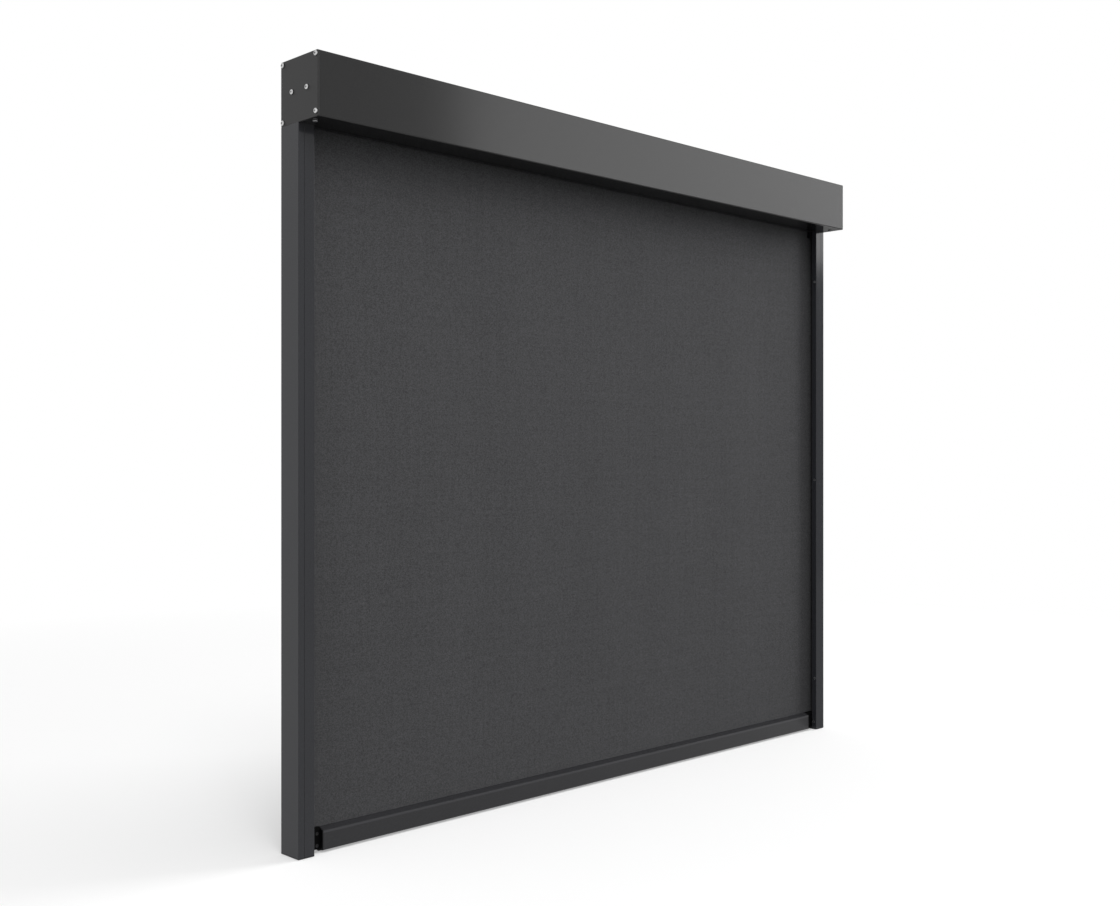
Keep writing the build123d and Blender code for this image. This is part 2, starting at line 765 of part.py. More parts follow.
def guide_plug_left():
    flange = guide_block((0, guide_width), (0, guide_depth), (foot_z, foot_z + plug_flange))
    corners = [(x, y) for x in (-half_width, -guide_inner) for y in (0, -guide_depth)]
    flange = fillet(line_edges(flange, Axis.Z, corners), guide_corner)
    top = foot_z + plug_flange
    rear_u = (guide_wall + seat_gap, guide_width - guide_wall - seat_gap)
    rear_v = (guide_wall + seat_gap, channel_rear - guide_wall - seat_gap)
    plug = flange + guide_block(rear_u, rear_v, (top, top + plug_spigot))
    front_u = (guide_seam + seam_width + cover_leg + seat_gap, guide_width - guide_wall - seat_gap)
    front_v = (channel_front + guide_wall + seat_gap, guide_depth - guide_wall - seat_gap)
    plug += guide_block(front_u, front_v, (top, top + plug_tall_spigot))
    hole_x = (-guide_inner - plug_screw_length, -guide_inner)
    y = -(guide_depth - plug_screw_setback)
    return plug - disc_x(hole_x, sunk_shank, y, foot_z + plug_screw_height)


def guide_stop_left():
    u_range = (guide_width - glider_reach - stop_margin, guide_width - stop_margin)
    half = channel_width / 2 - glider_gap
    v_range = (fabric_depth - half, fabric_depth + half)
    floor = foot_z + plug_flange
    return guide_block(u_range, v_range, (floor, floor + stop_height))


# Bottom bar
profile_half = bar_half - cap_plate
seal_pocket_floor = bar_floor + bar_wall
seal_pocket_top = seal_pocket_floor + seal_pocket_height
weight_floor = seal_pocket_top + seal_roof
hem_z = crest_z - hem_cover - hem_radius


def bar_outline(inset):
    """The bar's outline, drawn in by an inset."""
    half = bar_depth / 2 - inset
    crest = crest_width / 2
    return [
        (fabric_y - half, bar_floor + inset),
        (fabric_y + half, bar_floor + inset),
        (fabric_y + half, bar_shoulder_z - inset),
        (fabric_y + crest, crest_z - inset),
        (fabric_y - crest, crest_z - inset),
        (fabric_y - half, bar_shoulder_z - inset),
    ]


def bar_blank(x_range):
    """The bar's outer shape with its long edges rounded."""
    outline = bar_outline(0)
    blank = prism_x(outline, x_range)
    blank = fillet(line_edges(blank, Axis.X, [outline[2], outline[5]]), bar_round)
    return fillet(line_edges(blank, Axis.X, [outline[0], outline[1]]), bar_foot_round)


def bar_profile():
    span = (-profile_half, profile_half)
    bar = bar_blank(span) - prism_x(bar_outline(bar_wall), span)
    inner_half = bar_depth / 2 - bar_wall
    bar += disc_x(span, hem_radius + hem_wall, fabric_y, hem_z) & bar_blank(span)
    bar += block(span, (fabric_y - crest_width / 2, fabric_y + crest_width / 2), (hem_z, crest_z - bar_wall))
    bar -= disc_x(span, hem_radius, fabric_y, hem_z)
    bar -= block(span, (fabric_y - hem_neck / 2, fabric_y + hem_neck / 2), (hem_z, crest_z))
    roof = (fabric_y - inner_half, fabric_y + inner_half)
    bar += block(span, roof, (seal_pocket_top, weight_floor))
    half_pocket = seal_pocket_width / 2
    for side in (-1, 1):
        edge = fabric_y + side * half_pocket
        bar += block(span, (edge, edge + side * bar_wall), (seal_pocket_floor, seal_pocket_top))
    neck = (fabric_y - seal_neck / 2, fabric_y + seal_neck / 2)
    return bar - block(span, neck, (bar_floor, seal_pocket_floor))


def bar_weight():
    half = profile_half - weight_inset - cap_spigot
    depth = (fabric_y - weight_width / 2, fabric_y + weight_width / 2)
    return block((-half, half), depth, (weight_floor, weight_floor + weight_height))


def bar_hem():
    span = (-profile_half, profile_half)
    rod = disc_x(span, hem_keder, fabric_y, hem_z)
    tail = (fabric_y - fabric_thickness / 2, fabric_y + fabric_thickness / 2)
    return rod + block(span, tail, (hem_z, crest_z))


def bottom_seal():
    span = (-bar_half, bar_half)
    head_half = seal_pocket_width / 2 - seat_gap
    neck_half = seal_neck / 2 - seat_gap
    bulb_half = seal_bulb_width / 2
    head_z = (seal_pocket_floor + seat_gap, seal_pocket_top - seat_gap)
    inside = (-profile_half, profile_half)
    seal = block(inside, (fabric_y - head_half, fabric_y + head_half), head_z)
    seal += block(inside, (fabric_y - neck_half, fabric_y + neck_half), (bar_floor, head_z[0]))
    bulb = block(span, (fabric_y - bulb_half, fabric_y + bulb_half), (bar_floor - seal_drop, bar_floor))
    low = bar_floor - seal_drop
    lower_edges = [(fabric_y - bulb_half, low), (fabric_y + bulb_half, low)]
    return seal + fillet(line_edges(bulb, Axis.X, lower_edges), seal_drop / 2)


glider_depth = channel_width - 2 * glider_gap
glider_front = fabric_y - glider_depth / 2
glider_rear = fabric_y + glider_depth / 2
leg_depth = (glider_rear - glider_gap - leg_thickness, glider_rear - glider_gap)
leg_heights = (glider_floor + leg_thickness / 2, glider_top - leg_thickness / 2)


def glider_screw_places():
    return [(-bar_half - glider_screw_inset, foot_z + height) for height in glider_screw_heights]


def bar_end_cap_left():
    cap = bar_blank((-bar_half, -profile_half))
    spigot_half = bar_depth / 2 - bar_wall - seat_gap
    spigot_low = weight_floor + weight_height + seat_gap
    spigot_high = hem_z - hem_radius - hem_wall - seat_gap
    inside = (-profile_half, -profile_half + cap_spigot)
    cap += block(inside, (fabric_y - spigot_half, fabric_y + spigot_half), (spigot_low, spigot_high))
    cap += block((-bar_half - leg_reach, -bar_half), leg_depth, leg_heights)
    for x, z in glider_screw_places():
        hole = Rot(90, 0, 0) * Cylinder(sunk_shank, leg_thickness)
        cap -= Pos(x, (leg_depth[0] + leg_depth[1]) / 2, z) * hole
    return cap


def bar_glider_left():
    outer = -guide_inner - glider_reach
    glider = block((outer, -bar_half), (glider_front, glider_rear), (glider_floor, glider_top))
    glider = fillet(glider.faces().sort_by(Axis.X)[0].edges(), glider_round)
    pocket_x = (-bar_half - leg_reach - seat_gap, -bar_half)
    pocket_z = (leg_heights[0] - seat_gap, leg_heights[1] + seat_gap)
    glider -= block(pocket_x, (leg_depth[0], glider_rear), pocket_z)
    for x, z in glider_screw_places():
        hole = Rot(90, 0, 0) * Cylinder(sunk_shank, glider_depth)
        glider -= Pos(x, fabric_y, z) * hole
        glider -= Pos(x, glider_front, z) * Rot(90, 0, 0) * countersink(guide_wall)
    return glider


def glider_screws():
    length = leg_depth[1] - glider_front
    screw = Rot(90, 0, 0) * sunk_screw(length, guide_wall)
    left = [Pos(x, glider_front, z) * screw for x, z in glider_screw_places()]
    return group(left + [right_copy(piece) for piece in left])


left_pieces = {
    "end_cap": end_cap_left(),
    "roller_bracket": roller_bracket_left(),
    "zip_chain": zip_chain_left(),
    "guide_base": guide_base_left(),
    "guide_cover": guide_cover_left(),
    "zip_track": zip_track_left(),
    "track_cushions": track_cushions_left(),
    "inlet_funnel": inlet_funnel_left(),
    "guide_plug": guide_plug_left(),
    "guide_stop": guide_stop_left(),
    "bar_end_cap": bar_end_cap_left(),
    "bar_glider": bar_glider_left(),
}

pieces = {
    "headbox_rear_profile": headbox_rear_profile(),
    "headbox_front_cover": headbox_front_cover(),
    "corner_screws": end_screws(rear_corners + front_corners, box_screw_length),
    "bracket_screws": end_screws(bracket_places(), end_plate + bracket_thickness),
    "cover_lock_screws": cover_lock_screws(),
    "cable_grommet": cable_grommet(),
    "motor_head": motor_head(),
    "motor_body": motor_body(),
    "motor_shaft": motor_shaft(),
    "drive_wheel": drive_wheel(),
    "crown_ring": crown_ring(),
    "roller_tube": roller_tube(),
    "tube_keder": tube_keder(),
    "wound_fabric": wound_fabric(),
    "wound_zips": wound_zips(),
    "idler_plug": idler_plug(),
    "bearing_outer_ring": bearing_outer_ring(),
    "bearing_inner_ring": bearing_inner_ring(),
    "bearing_balls": bearing_balls(),
    "idler_pin": idler_pin(),
    "fabric_lead_in": fabric_lead_in(),
    "zip_lead_ins": zip_lead_ins(),
    "screen_fabric": screen_fabric(),
    "guide_cover_screws": guide_cover_screws(),
    "guide_plug_screws": guide_plug_screws(),
    "bar_profile": bar_profile(),
    "bar_weight": bar_weight(),
    "bar_hem": bar_hem(),
    "bottom_seal": bottom_seal(),
    "glider_screws": glider_screws(),
}

for name, shape in left_pieces.items():
    pieces[name + "_left"] = shape
    pieces[name + "_right"] = right_copy(shape)

os.makedirs("parts", exist_ok=True)
for name, shape in pieces.items():
    export_step(shape, f"parts/{name}.step")

turn = bar_travel / lead_radius
print(f"{len(pieces)} nodes")
print(f"bar travel {bar_travel:.2f} mm, roller turns {degrees(turn):.1f} degrees")
print(f"roller follows the bar at {1000 / lead_radius:.5f} radians per metre")
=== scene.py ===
import math

import bpy
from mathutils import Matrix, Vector


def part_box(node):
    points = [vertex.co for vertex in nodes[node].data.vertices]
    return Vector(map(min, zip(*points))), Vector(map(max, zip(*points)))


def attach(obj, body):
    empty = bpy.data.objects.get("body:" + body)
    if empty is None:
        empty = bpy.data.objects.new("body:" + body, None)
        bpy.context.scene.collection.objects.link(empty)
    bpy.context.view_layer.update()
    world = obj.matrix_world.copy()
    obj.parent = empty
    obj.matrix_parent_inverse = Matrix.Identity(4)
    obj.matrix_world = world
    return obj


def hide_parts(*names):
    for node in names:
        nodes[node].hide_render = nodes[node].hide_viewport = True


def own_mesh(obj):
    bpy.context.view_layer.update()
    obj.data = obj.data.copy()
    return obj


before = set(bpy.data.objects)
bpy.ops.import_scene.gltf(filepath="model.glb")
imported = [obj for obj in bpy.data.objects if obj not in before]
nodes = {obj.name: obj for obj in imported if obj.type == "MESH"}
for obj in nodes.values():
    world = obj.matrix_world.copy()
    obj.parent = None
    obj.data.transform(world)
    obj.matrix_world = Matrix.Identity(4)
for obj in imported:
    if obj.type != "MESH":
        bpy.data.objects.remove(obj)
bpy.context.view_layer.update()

# Sizes in metres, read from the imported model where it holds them.
ROLL_Y, ROLL_Z = -0.050, 0.0
FABRIC_Y = -0.029
TOP_Z = -0.050
ZIP_OUTER = 0.690
FABRIC_HALF = 0.684
CLOTH_HALF = 0.00025
BAR_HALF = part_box("bottom_seal")[1][0]
HEM_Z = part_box("screen_fabric")[0][2]
ZIP_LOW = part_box("zip_chain_left")[0][2]
FOOT_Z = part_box("guide_plug_left")[0][2]
SHOULDER_Z = HEM_Z - 0.005


# Materials
def tinted(colour, factor):
    """A colour with its brightness changed, as the four numbers that a socket takes."""
    return [c * factor for c in colour] + [1]


def seen_or_mirrored(tree):
    """A socket that is 1 for rays from the camera, from gloss and through glass, and 0 for diffuse light."""
    paths = tree.nodes.new("ShaderNodeLightPath")
    result = paths.outputs["Is Camera Ray"]
    for name in ("Is Glossy Ray", "Is Transmission Ray"):
        either = tree.nodes.new("ShaderNodeMath")
        either.operation = "MAXIMUM"
        tree.links.new(result, either.inputs[0])
        tree.links.new(paths.outputs[name], either.inputs[1])
        result = either.outputs[0]
    return result


class Nodes:
    """A material and a short way to add nodes to it."""

    def __init__(self, name):
        self.mat = bpy.data.materials.new(name)
        self.mat.use_nodes = True
        self.tree = self.mat.node_tree
        self.shader = self.tree.nodes["Principled BSDF"]
        self.coords = self.add("ShaderNodeTexCoord").outputs["Object"]

    def add(self, kind, **settings):
        node = self.tree.nodes.new(kind)
        for key, value in settings.items():
            setattr(node, key, value)
        return node

    def link(self, a, b):
        self.tree.links.new(a, b)

    def put(self, value, socket):
        """Links a socket to another, or sets its value."""
        if hasattr(value, "is_linked"):
            self.link(value, socket)
        else:
            socket.default_value = value

    def surface(self, shader):
        """Makes a shader node the material's surface."""
        self.link(shader.outputs[0], self.tree.nodes["Material Output"].inputs["Surface"])

    def math(self, operation, a, b=0.0, c=0.0):
        node = self.add("ShaderNodeMath", operation=operation)
        for value, socket in zip((a, b, c), node.inputs):
            self.put(value, socket)
        return node.outputs[0]

    def split(self):
        """The object's coordinates along X, Y and Z."""
        node = self.add("ShaderNodeSeparateXYZ")
        self.link(self.coords, node.inputs[0])
        return node.outputs

    def noise(self, scale, detail=2.0, rough=0.5, stretch=None):
        coords = self.coords
        if stretch:
            mapping = self.add("ShaderNodeMapping")
            mapping.inputs["Scale"].default_value = stretch
            self.link(coords, mapping.inputs["Vector"])
            coords = mapping.outputs[0]
        node = self.add("ShaderNodeTexNoise")
        self.link(coords, node.inputs["Vector"])
        node.inputs["Scale"].default_value = scale
        node.inputs["Detail"].default_value = detail
        node.inputs["Roughness"].default_value = rough
        return node.outputs["Fac"]

    def spread(self, value, low, high, start=0.3, end=0.7):
        """Turns start..end, where most of a noise lies, into low..high."""
        node = self.add("ShaderNodeMapRange")
        for socket, number in zip(node.inputs[1:5], (start, end, low, high)):
            socket.default_value = number
        self.link(value, node.inputs["Value"])
        return node.outputs[0]

    def mix(self, factor, a, b):
        node = self.add("ShaderNodeMix", data_type="RGBA")
        self.put(factor, node.inputs["Factor"])
        self.put(a, node.inputs["A"])
        self.put(b, node.inputs["B"])
        return node.outputs["Result"]

    def scaled(self, colour, low, high, factor):
        """One colour, from low to high times its brightness."""
        return self.mix(factor, tinted(colour, low), tinted(colour, high))

    def bevel(self, radius):
        node = self.add("ShaderNodeBevel", samples=4)
        node.inputs["Radius"].default_value = radius
        return node.outputs[0]

    def bump(self, height, distance, strength, normal=None):
        node = self.add("ShaderNodeBump")
        node.inputs["Strength"].default_value = strength
        node.inputs["Distance"].default_value = distance
        self.link(height, node.inputs["Height"])
        if normal:
            self.link(normal, node.inputs["Normal"])
        return node.outputs[0]

    def done(self, colour, rough, normal=None, metallic=0.0, specular=0.5):
        inputs = self.shader.inputs
        self.put(colour, inputs["Base Color"])
        self.put(rough, inputs["Roughness"])
        inputs["Metallic"].default_value = metallic
        inputs["Specular IOR Level"].default_value = specular
        if normal:
            self.link(normal, inputs["Normal"])
        return self.mat


def paint(name, shade, rough, specular=0.26, round_edge=0.0004, painted_highlight=None):
    """Fine satin powder coating on aluminium: a slight orange peel with a finer sparkle in it.

    Between the two heights given for it, the coating is painted paler: a painted highlight along an edge.
    """
    n = Nodes(name)
    cloud = n.noise(3.0, 3, 0.55)
    grain = n.noise(700.0, 2, 0.6)
    peel = n.noise(320.0, 2, 0.5)
    colour = n.scaled(shade, 0.90, 1.00, n.spread(cloud, 0, 1))
    sparkle = n.spread(grain, 0.0, 0.55, 0.5, 0.72)
    colour = n.mix(sparkle, colour, tinted(shade, 2.2))
    if painted_highlight:
        # Painted highlight: a paler band between the two heights, along the edge there.
        half = (painted_highlight[1] - painted_highlight[0]) / 2
        away = n.math("ABSOLUTE", n.math("SUBTRACT", n.split()[2], painted_highlight[0] + half))
        band = n.spread(away, 1.0, 0.0, half * 0.5, half)
        highlight_mask = n.math("MULTIPLY", band, n.spread(cloud, 0.85, 1.0))
        colour = n.mix(highlight_mask, colour, tinted(shade, 2.1))
    height = n.math("ADD", n.math("MULTIPLY", peel, 0.7), n.math("MULTIPLY", grain, 0.45))
    normal = n.bump(height, 0.00006, 0.5, n.bevel(round_edge))
    roughness = n.math("ADD", n.spread(cloud, rough - 0.015, rough + 0.01), n.spread(grain, -0.02, 0.03))
    return n.done(colour, roughness, normal, specular=specular)


def steel(name, colour, rough, stretch=(1, 1, 1), recess_shade=False):
    """Machined or drawn steel. Its lines run along the axis where stretch is low. Its recesses can be
    darkened with painted shade, found by ambient occlusion.
    """
    n = Nodes(name)
    lines = n.noise(900.0, 3, 0.6, stretch)
    stain = n.noise(40.0, 3, 0.6)
    base = n.scaled(colour, 0.82, 1.1, n.spread(stain, 0, 1))
    if recess_shade:
        # Painted shade: the colour goes dark where ambient occlusion finds a recess.
        hollow = n.add("ShaderNodeAmbientOcclusion", samples=8)
        hollow.inputs["Distance"].default_value = 0.0016
        open_to_light = n.spread(hollow.outputs["AO"], 0, 1, 0.45, 0.95)
        base = n.mix(open_to_light, tinted(colour, 0.12), base)
    normal = n.bump(lines, 0.00003, 0.4, n.bevel(0.00025))
    return n.done(base, n.spread(lines, rough - 0.06, rough + 0.08), normal, metallic=1.0)


def plastic(name, colour, rough, specular=0.4):
    """Moulded plastic with a fine eroded grain."""
    n = Nodes(name)
    grain = n.noise(900.0, 3, 0.6)
    flow = n.noise(25.0, 2, 0.5)
    base = n.scaled(colour, 0.85, 1.15, n.spread(flow, 0, 1))
    normal = n.bump(grain, 0.00008, 0.5, n.bevel(0.0004))
    return n.done(base, n.spread(grain, rough - 0.07, rough + 0.07), normal, specular=specular)


def rubber(name, colour):
    """Extruded rubber: fine lines along X and a pale bloom."""
    n = Nodes(name)
    bloom = n.noise(30.0, 4, 0.6)
    lines = n.noise(700.0, 2, 0.5, (0.02, 1, 1))
    base = n.scaled(colour, 0.8, 1.5, n.spread(bloom, 0, 1))
    normal = n.bump(lines, 0.00006, 0.4, n.bevel(0.0004))
    return n.done(base, n.spread(bloom, 0.62, 0.8), normal, specular=0.3)


def foam(name, colour):
    """Soft foam with small round cells."""
    n = Nodes(name)
    cell = n.add("ShaderNodeTexVoronoi")
    cell.inputs["Scale"].default_value = 1500.0
    n.link(n.coords, cell.inputs["Vector"])
    base = n.scaled(colour, 0.5, 1.4, n.spread(cell.outputs["Distance"], 0, 1, 0.1, 0.7))
    normal = n.bump(cell.outputs["Distance"], 0.0003, 0.8)
    return n.done(base, 0.92, normal, specular=0.15)


def cloth(name):
    """The screen's coated basket weave: warp and weft threads pass over each other on a grid."""
    colour = (0.0680, 0.0682, 0.0708)
    pitch, contrast = 0.0016, 0.36
    n = Nodes(name)
    along_x, _, along_z = n.split()
    threads, cells = [], []
    for axis in (along_x, along_z):
        turn = n.math("MULTIPLY", axis, math.pi / pitch)
        threads.append(n.math("ABSOLUTE", n.math("SINE", turn)))
        cells.append(n.math("FLOOR", n.math("MULTIPLY", axis, 1 / pitch)))
    # Which thread is on top changes from cell to cell, like a checkerboard.
    parity = n.math("ABSOLUTE", n.math("MODULO", n.math("ADD", *cells), 2.0))
    over = n.math("MULTIPLY", threads[0], parity)
    under = n.math("MULTIPLY", threads[1], n.math("SUBTRACT", 1.0, parity))
    height = n.math("ADD", over, under)
    tone = n.spread(height, 1 - contrast, 1 + contrast * 0.55, 0.05, 1.0)
    # Uneven threads both ways, thick spots, flecks and a faint wash. The scale along Y is low, so that the
    # cloth's waviness doesn't change the pattern.
    slub = n.noise(1.0, 2, 0.6, (260, 17, 5))
    slub_across = n.noise(1.0, 2, 0.6, (7, 17, 380))
    nep = n.noise(1.0, 2, 0.6, (150, 17, 260))
    fleck = n.noise(1.0, 1, 0.5, (560, 17, 640))
    wash = n.noise(4.0, 2, 0.5)
    for pattern, swing in ((slub, 0.035), (slub_across, 0.035), (nep, 0.01), (fleck, 0.26), (wash, 0.015)):
        tone = n.math("MULTIPLY", tone, n.spread(pattern, 1 - swing, 1 + swing))
    base = n.add("ShaderNodeVectorMath", operation="SCALE")
    base.inputs[0].default_value = colour
    n.link(tone, base.inputs["Scale"])
    normal = n.bump(height, 0.00022, 0.35)
    return n.done(base.outputs[0], 0.82, normal, specular=0.07)


def zip_tape(name):
    """The zips' woven tape, with fine ribs across it."""
    n = Nodes(name)
    rib = n.noise(1.0, 2, 0.5, (200, 200, 2600))
    base = n.scaled((0.022, 0.0225, 0.024), 0.7, 1.4, n.spread(rib, 0, 1))
    normal = n.bump(rib, 0.0001, 0.5)
    return n.done(base, n.spread(rib, 0.5, 0.7), normal, specular=0.35)


def enamel(name, colour):
    """Smooth enamel on the motor's tube."""
    n = Nodes(name)
    cloud = n.noise(30.0, 3, 0.5)
    peel = n.noise(420.0, 2, 0.5)
    base = n.scaled(colour, 0.95, 1.03, n.spread(cloud, 0, 1))
    normal = n.bump(peel, 0.00005, 0.4, n.bevel(0.0004))
    return n.done(base, n.spread(cloud, 0.32, 0.42), normal, specular=0.45)


box_paint = paint("box_paint", (0.0160, 0.0160, 0.0162), 0.145)
cap_paint = paint("cap_paint", (0.0180, 0.0180, 0.0182), 0.45, 0.3)
guide_paint = paint("guide_paint", (0.0226, 0.0234, 0.0272), 0.125, 0.28)
# The bar's crest edge gets a painted highlight just below its shoulder.
bar_paint = paint("bar_paint", (0.0215, 0.0215, 0.0234), 0.2, round_edge=0.0022,
                  painted_highlight=(SHOULDER_Z - 0.0038, SHOULDER_Z))
black_plastic = plastic("black_plastic", (0.0028, 0.0028, 0.0030), 0.6, 0.12)
track_plastic = plastic("track_plastic", (0.0085, 0.0090, 0.0108), 0.6, 0.15)
glider_plastic = plastic("glider_plastic", (0.0016, 0.0016, 0.0017), 0.7, 0.06)
keder_plastic = plastic("keder_plastic", (0.05, 0.05, 0.053), 0.5)
# The screws' recesses get painted shade.
screw_steel = steel("screw_steel", (0.62, 0.62, 0.62), 0.34, recess_shade=True)
dark_steel = steel("dark_screw_steel", (0.22, 0.22, 0.225), 0.4, recess_shade=True)
pale_steel = steel("guide_screw_steel", (0.42, 0.42, 0.43), 0.38, recess_shade=True)
black_steel = steel("black_screw_steel", (0.038, 0.038, 0.039), 0.45, recess_shade=True)
zinc_steel = steel("zinc_steel", (0.55, 0.56, 0.58), 0.38, (0.05, 1, 1))
bearing_steel = steel("bearing_steel", (0.72, 0.72, 0.74), 0.16, (0.1, 1, 1))
tube_aluminium = steel("tube_aluminium", (0.8, 0.81, 0.83), 0.34, (0.02, 1, 1))
motor_casing = enamel("motor_casing", (0.62, 0.62, 0.6))
seal_rubber = rubber("seal_rubber", (0.0065, 0.0065, 0.007))
track_foam = foam("track_foam", (0.02, 0.02, 0.021))
screen_cloth = cloth("screen_cloth")
zip_cloth = zip_tape("zip_tape")

finishes = {
    box_paint: ("headbox_rear_profile", "headbox_front_cover"),
    cap_paint: ("end_cap_left", "end_cap_right"),
    guide_paint: ("guide_base_left", "guide_base_right", "guide_cover_left", "guide_cover_right"),
    bar_paint: ("bar_profile",),
    screw_steel: ("corner_screws", "bracket_screws"),
    dark_steel: ("cover_lock_screws",),
    pale_steel: ("guide_cover_screws", "guide_plug_screws"),
    black_steel: ("glider_screws",),
    zinc_steel: ("roller_bracket_left", "roller_bracket_right", "bar_weight", "motor_shaft", "idler_pin"),
    bearing_steel: ("bearing_outer_ring", "bearing_inner_ring", "bearing_balls"),
    tube_aluminium: ("roller_tube",),
    motor_casing: ("motor_body",),
    black_plastic: (
        "motor_head", "drive_wheel", "crown_ring", "idler_plug", "inlet_funnel_left", "inlet_funnel_right",
        "guide_plug_left", "guide_plug_right", "bar_end_cap_left", "bar_end_cap_right",
    ),
    track_plastic: ("zip_track_left", "zip_track_right"),
    glider_plastic: ("bar_glider_left", "bar_glider_right"),
    seal_rubber: ("guide_stop_left", "guide_stop_right", "bottom_seal", "cable_grommet"),
    track_foam: ("track_cushions_left", "track_cushions_right"),
    keder_plastic: ("tube_keder", "bar_hem"),
    screen_cloth: ("screen_fabric", "fabric_lead_in", "wound_fabric"),
    zip_cloth: ("zip_chain_left", "zip_chain_right", "zip_lead_ins", "wound_zips"),
}
for material, names in finishes.items():
    for name in names:
        for entry in nodes[name].material_slots:
            entry.link = "OBJECT"
            entry.material = material


# Soft pieces
def add_mesh(name, verts, faces, material):
    mesh = bpy.data.meshes.new(name)
    mesh.from_pydata(verts, [], faces)
    mesh.validate()
    mesh.update()
    mesh.materials.append(material)
    obj = bpy.data.objects.new(name, mesh)
    bpy.context.scene.collection.objects.link(obj)
    return obj


def piece(name, verts, faces, material, body):
    """A piece of the visual model, which moves with a body."""
    obj = add_mesh(name, verts, faces, material)
    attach(obj, body)
    return obj


def evenly(start, end, count):
    """The ends of count equal steps from start to end."""
    return [start + (end - start) * k / count for k in range(count + 1)]


def slab(rows, half):
    """A closed sheet from a grid of points, whose rows run along X. half goes from its middle to its back."""
    count = len(rows[0])
    front = [p - half for row in rows for p in row]
    back = [p + half for row in rows for p in row]
    faces = []
    offset = len(front)
    for i in range(len(rows) - 1):
        for j in range(count - 1):
            a = i * count + j
            quad = (a, a + 1, a + count + 1, a + count)
            faces.append(quad)
            faces.append(tuple(offset + k for k in reversed(quad)))
    rim = list(range(count))
    rim += [i * count + count - 1 for i in range(1, len(rows))]
    rim += [(len(rows) - 1) * count + j for j in range(count - 2, -1, -1)]
    rim += [i * count for i in range(len(rows) - 2, 0, -1)]
    for k, a in enumerate(rim):
        b = rim[(k + 1) % len(rim)]
        faces.append((b, a, a + offset, b + offset))
    return front + back, faces


def ripple(x, z):
    """The screen's slight waviness: long vertical draws from the tube and faint cross waves.

    It fades towards the edges. It fades slowly along Z, because raising the bar makes it much steeper.
    """
    edge = min(1.0, (FABRIC_HALF - abs(x)) / 0.05)
    ends = min(1.0, (TOP_Z - z) / 0.3, (z - HEM_Z) / 0.3)
    draws = 0.00035 * math.sin(x * 31.0 + 1.3 * math.sin(z * 2.1)) + 0.00025 * math.sin(x * 13.7 + z * 1.7)
    cross = 0.0001 * math.sin(z * 9.0 + 0.8 * math.sin(x * 4.0))
    return (draws + cross) * max(0.0, edge) * max(0.0, ends)


def screen():
    half = Vector((0, CLOTH_HALF, 0))
    xs = evenly(-FABRIC_HALF, FABRIC_HALF, 120)
    rows = [[Vector((x, FABRIC_Y + ripple(x, z), z)) for x in xs] for z in evenly(TOP_Z, ZIP_LOW, 110)]
    verts, faces = slab(rows, half)
    # The strip that goes on into the bar, between the bar's ends.
    start = len(verts)
    strip = [[Vector((x, FABRIC_Y, z)) for x in (-BAR_HALF, 0, BAR_HALF)] for z in (ZIP_LOW, HEM_Z)]
    more, more_faces = slab(strip, half)
    verts += more
    faces += [tuple(start + k for k in face) for face in more_faces]
    return piece("screen_cloth_sheet", verts, faces, screen_cloth, "root")


sheet = screen()
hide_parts("screen_fabric")
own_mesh(sheet)

# The keder's plastic flag in the mouth of the bar goes up with the bar. At rest its edge is inside the
# screen.
FLAG_DEPTH, FLAG_HALF = 0.003, 0.0002
bar_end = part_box("bar_profile")[1][0]
flag_xs, flag_zs = evenly(-bar_end, bar_end, 40), evenly(ZIP_LOW, HEM_Z - FLAG_DEPTH, 4)
flag_rows = [[Vector((x, FABRIC_Y, z)) for x in flag_xs] for z in flag_zs]
flag = piece("keder_flag", *slab(flag_rows, Vector((0, FLAG_HALF, 0))), keder_plastic, "bottom_bar")


def add_brick(verts, faces, corners):
    """Adds a block: its first four corners go round one end and the last four round the other."""
    start = len(verts)
    verts.extend(corners)
    for quad in ((0, 1, 2, 3), (7, 6, 5, 4), (0, 4, 5, 1), (1, 5, 6, 2), (2, 6, 7, 3), (3, 7, 4, 0)):
        faces.append(tuple(start + k for k in quad))


# Across the zip: how far its tape and its teeth stay inside the zip's edge, and where the teeth begin beside
# the cloth. Along it: the part of its pitch that a tooth fills.
TAPE_INSET, TOOTH_INSET, TOOTH_ROOT = 0.0002, 0.0006, 0.0022
TAPE_HALF, TOOTH_HALF = 0.0004, 0.0016
TOOTH_PITCH, TOOTH_SPAN, TOOTH_SHIFT = 0.002, (0.2, 0.75), 0.0006


def chain(name, path, sides, body):
    """A zip's tape with a row of teeth. path gives points (y, z) and each side is -1 or 1 along X."""
    verts, faces = [], []

    def bar(side, x_range, start, end, half):
        along = Vector((0, end[0] - start[0], end[1] - start[1]))
        across = Vector((0, -along.z, along.y)).normalized() * half
        near, far = Vector((0, *start)), Vector((0, *end))
        ends = [p + s * across for p, s in ((near, -1), (near, 1), (far, 1), (far, -1))]
        x0, x1 = (Vector((side * x, 0, 0)) for x in x_range)
        add_brick(verts, faces, [p + x0 for p in ends] + [p + x1 for p in ends])

    for side in sides:
        for start, end in zip(path, path[1:]):
            bar(side, (FABRIC_HALF, ZIP_OUTER - TAPE_INSET), start, end, TAPE_HALF)
            count = max(1, int(math.dist(start, end) / TOOTH_PITCH))
            for k in range(count):
                a, b = (
                    [p + (q - p) * (k + part) / count for p, q in zip(start, end)] for part in TOOTH_SPAN
                )
                # Every second tooth stands further out.
                shift = TOOTH_SHIFT if k % 2 else 0.0
                tooth = (FABRIC_HALF + TOOTH_ROOT + shift, ZIP_OUTER - TOOTH_INSET + shift)
                bar(side, tooth, a, b, TOOTH_HALF)
    return piece(name, verts, faces, zip_cloth, body)


for name, side in (("left", -1), ("right", 1)):
    teeth = chain(f"zip_teeth_{name}", [(FABRIC_Y, TOP_Z), (FABRIC_Y, ZIP_LOW)], [side], "root")
    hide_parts(f"zip_chain_{name}")
    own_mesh(teeth)

